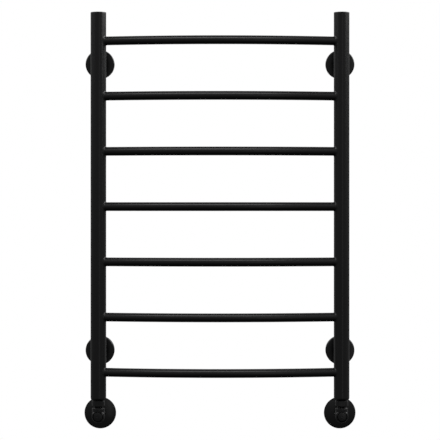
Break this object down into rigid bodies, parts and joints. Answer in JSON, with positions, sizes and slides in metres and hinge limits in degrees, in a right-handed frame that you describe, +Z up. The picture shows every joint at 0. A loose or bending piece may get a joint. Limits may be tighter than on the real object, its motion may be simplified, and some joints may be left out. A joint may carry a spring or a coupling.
{
  "type": "towel warmer",
  "caption": "Wall-hung ladder towel warmer for a hot-water circuit: two columns, forward-bowed rungs, telescopic wall brackets and angle valves below.",
  "frame": {"origin": "centre of the four wall-bracket screw holes, on the wall plane", "axes": "+Z up, -Y out of the wall towards the room, +X to the right seen from the front"},
  "size_m": [0.566, 0.1125, 0.8626],
  "materials": {
    "black_paint": "satin black powder coat",
    "brass": "machined",
    "steel": "black oxide",
    "rubber": "matte",
    "ceramic": "lapped"
  },
  "bodies": {
    "ladder": {"column_left": "black_paint", "column_right": "black_paint", "rung_1": "black_paint", "rung_2": "black_paint", "rung_3": "black_paint", "rung_4": "black_paint", "rung_5": "black_paint", "rung_6": "black_paint", "rung_7": "black_paint", "top_cap_left": "black_paint", "top_cap_right": "black_paint", "bleed_seat_left": "brass", "bleed_seat_right": "brass", "end_bush_left": "black_paint", "end_bush_right": "black_paint", "bracket_stubs": "black_paint", "tailpiece_left": "steel", "tailpiece_right": "steel", "union_gaskets": "rubber", "valve_body_left": "black_paint", "valve_body_right": "black_paint", "valve_cartridge_left": "brass", "valve_cartridge_right": "brass", "cartridge_seals": "rubber", "fixed_discs": "ceramic"},
    "bracket_lower_left": {"bracket_socket_lower_left": "black_paint", "lock_screw_lower_left": "steel"},
    "rosette_lower_left": {"rosette_lower_left": "black_paint"},
    "bracket_lower_right": {"bracket_socket_lower_right": "black_paint", "lock_screw_lower_right": "steel"},
    "rosette_lower_right": {"rosette_lower_right": "black_paint"},
    "bracket_upper_left": {"bracket_socket_upper_left": "black_paint", "lock_screw_upper_left": "steel"},
    "rosette_upper_left": {"rosette_upper_left": "black_paint"},
    "bracket_upper_right": {"bracket_socket_upper_right": "black_paint", "lock_screw_upper_right": "steel"},
    "rosette_upper_right": {"rosette_upper_right": "black_paint"},
    "bleed_screw_left": {"bleed_screw_left": "brass"},
    "union_nut_left": {"union_nut_left": "black_paint"},
    "valve_handle_left": {"valve_knob_left": "black_paint", "knob_screw_left": "steel", "spindle_left": "brass", "moving_disc_left": "ceramic"},
    "escutcheon_left": {"escutcheon_left": "black_paint"},
    "bleed_screw_right": {"bleed_screw_right": "brass"},
    "union_nut_right": {"union_nut_right": "black_paint"},
    "valve_handle_right": {"valve_knob_right": "black_paint", "knob_screw_right": "steel", "spindle_right": "brass", "moving_disc_right": "ceramic"},
    "escutcheon_right": {"escutcheon_right": "black_paint"}
  },
  "joints": [
    {"name": "bracket_slide_lower_left", "type": "slide", "parent": "ladder", "child": "bracket_lower_left", "axis": [0, 1, 0], "range_m": [0, 0.01]},
    {"name": "rosette_slide_lower_left", "type": "slide", "parent": "bracket_lower_left", "child": "rosette_lower_left", "axis": [0, -1, 0], "range_m": [0, 0.025]},
    {"name": "bracket_slide_lower_right", "type": "slide", "parent": "ladder", "child": "bracket_lower_right", "axis": [0, 1, 0], "range_m": [0, 0.01]},
    {"name": "rosette_slide_lower_right", "type": "slide", "parent": "bracket_lower_right", "child": "rosette_lower_right", "axis": [0, -1, 0], "range_m": [0, 0.025]},
    {"name": "bracket_slide_upper_left", "type": "slide", "parent": "ladder", "child": "bracket_upper_left", "axis": [0, 1, 0], "range_m": [0, 0.01]},
    {"name": "rosette_slide_upper_left", "type": "slide", "parent": "bracket_upper_left", "child": "rosette_upper_left", "axis": [0, -1, 0], "range_m": [0, 0.025]},
    {"name": "bracket_slide_upper_right", "type": "slide", "parent": "ladder", "child": "bracket_upper_right", "axis": [0, 1, 0], "range_m": [0, 0.01]},
    {"name": "rosette_slide_upper_right", "type": "slide", "parent": "bracket_upper_right", "child": "rosette_upper_right", "axis": [0, -1, 0], "range_m": [0, 0.025]},
    {"name": "valve_turn_left", "type": "hinge", "parent": "ladder", "child": "valve_handle_left", "pos_m": [-0.25, -0.075, -0.42875], "axis": [0, -1, 0], "range_deg": [0, 90]},
    {"name": "union_nut_turn_left", "type": "hinge", "parent": "ladder", "child": "union_nut_left", "pos_m": [-0.25, -0.06, -0.40275], "axis": [0, 0, 1], "continuous": true},
    {"name": "bleed_screw_turn_left", "type": "hinge", "parent": "ladder", "child": "bleed_screw_left", "pos_m": [-0.25, -0.06, 0.39875], "axis": [0, 0, 1], "range_deg": [0, 360]},
    {"name": "escutcheon_slide_left", "type": "slide", "parent": "ladder", "child": "escutcheon_left", "axis": [0, -1, 0], "range_m": [0, 0.02]},
    {"name": "valve_turn_right", "type": "hinge", "parent": "ladder", "child": "valve_handle_right", "pos_m": [0.25, -0.075, -0.42875], "axis": [0, -1, 0], "range_deg": [0, 90]},
    {"name": "union_nut_turn_right", "type": "hinge", "parent": "ladder", "child": "union_nut_right", "pos_m": [0.25, -0.06, -0.40275], "axis": [0, 0, 1], "continuous": true},
    {"name": "bleed_screw_turn_right", "type": "hinge", "parent": "ladder", "child": "bleed_screw_right", "pos_m": [0.25, -0.06, 0.39875], "axis": [0, 0, 1], "range_deg": [0, 360]},
    {"name": "escutcheon_slide_right", "type": "slide", "parent": "ladder", "child": "escutcheon_right", "axis": [0, -1, 0], "range_m": [0, 0.02]}
  ],
  "couplings": [
    {"joint": "bracket_slide_lower_right", "follows": "bracket_slide_lower_left", "ratio": 1},
    {"joint": "bracket_slide_upper_left", "follows": "bracket_slide_lower_left", "ratio": 1},
    {"joint": "bracket_slide_upper_right", "follows": "bracket_slide_lower_left", "ratio": 1}
  ]
}
